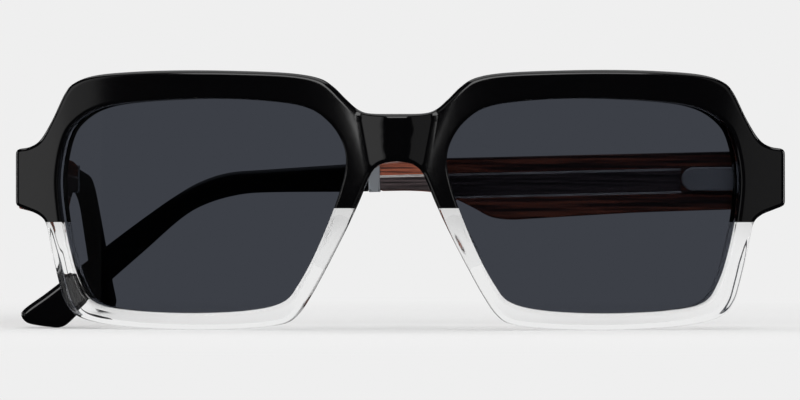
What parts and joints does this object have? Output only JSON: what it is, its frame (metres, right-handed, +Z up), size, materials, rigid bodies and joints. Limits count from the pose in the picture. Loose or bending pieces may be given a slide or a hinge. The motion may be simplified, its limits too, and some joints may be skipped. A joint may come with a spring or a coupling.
{
  "type": "square sunglasses",
  "caption": "Square sunglasses with a dark upper front, clear lower rims, grey lenses, laminated wooden temples on spring hinges and dark tips.",
  "frame": {"origin": "on the table, under the middle of the object's box at rest", "axes": "+X to the wearer's left, +Y from the front back along the open temples, +Z up"},
  "size_m": [0.1442, 0.1584, 0.0482],
  "materials": {
    "dark_acetate": "polished, almost black",
    "clear_acetate": "polished, clear with a cool tint",
    "grey_lens": "polished, evenly tinted cool grey",
    "rosewood": "oiled, dark red-brown with fine streaks",
    "dark_band": "satin, dark purplish grey",
    "light_metal": "satin",
    "spacer_metal": "brushed, blue-grey",
    "casing_metal": "satin grey",
    "steel": "satin",
    "bright_steel": "polished"
  },
  "bodies": {
    "front": {"front_frame": "dark_acetate", "right_lower_rim": "clear_acetate", "left_lower_rim": "clear_acetate", "right_nose_pad": "clear_acetate", "left_nose_pad": "clear_acetate", "right_lens": "grey_lens", "left_lens": "grey_lens", "right_hinge_plate": "steel", "left_hinge_plate": "steel", "hinge_screws": "bright_steel"},
    "right_slider": {"right_hinge_slider": "steel", "right_slider_nut": "bright_steel"},
    "left_slider": {"left_hinge_slider": "steel", "left_slider_nut": "bright_steel"},
    "right_temple": {"right_spring_casing": "casing_metal", "right_casing_bush": "bright_steel", "right_flex_spring": "bright_steel", "right_temple_wood": "rosewood", "right_inner_band": "dark_band", "right_upper_line": "light_metal", "right_lower_line": "light_metal", "right_spacer": "spacer_metal", "right_temple_core": "bright_steel", "right_temple_tip": "dark_acetate"},
    "left_temple": {"left_spring_casing": "casing_metal", "left_casing_bush": "bright_steel", "left_flex_spring": "bright_steel", "left_temple_wood": "rosewood", "left_inner_band": "dark_band", "left_upper_line": "light_metal", "left_lower_line": "light_metal", "left_spacer": "spacer_metal", "left_temple_core": "bright_steel", "left_temple_tip": "dark_acetate"}
  },
  "joints": [
    {"name": "right_temple_fold", "type": "hinge", "parent": "front", "child": "right_slider", "pos_m": [-0.067, -0.05926, 0.02805], "axis": [0, 0, 1], "range_deg": [-84.5, 0]},
    {"name": "left_temple_fold", "type": "hinge", "parent": "front", "child": "left_slider", "pos_m": [0.067, -0.05926, 0.02805], "axis": [0, 0, -1], "range_deg": [0, 91.2]},
    {"name": "right_flex_slide", "type": "slide", "parent": "right_slider", "child": "right_temple", "axis": [0, 1, 0], "range_m": [0, 0.0012], "stiffness_N_per_m": 3000, "springref_m": -0.0005, "deforming": ["right_flex_spring"]},
    {"name": "left_flex_slide", "type": "slide", "parent": "left_slider", "child": "left_temple", "axis": [-0.9998, -0.0209, 0], "range_m": [0, 0.0012], "stiffness_N_per_m": 3000, "springref_m": -0.0005, "deforming": ["left_flex_spring"]}
  ]
}
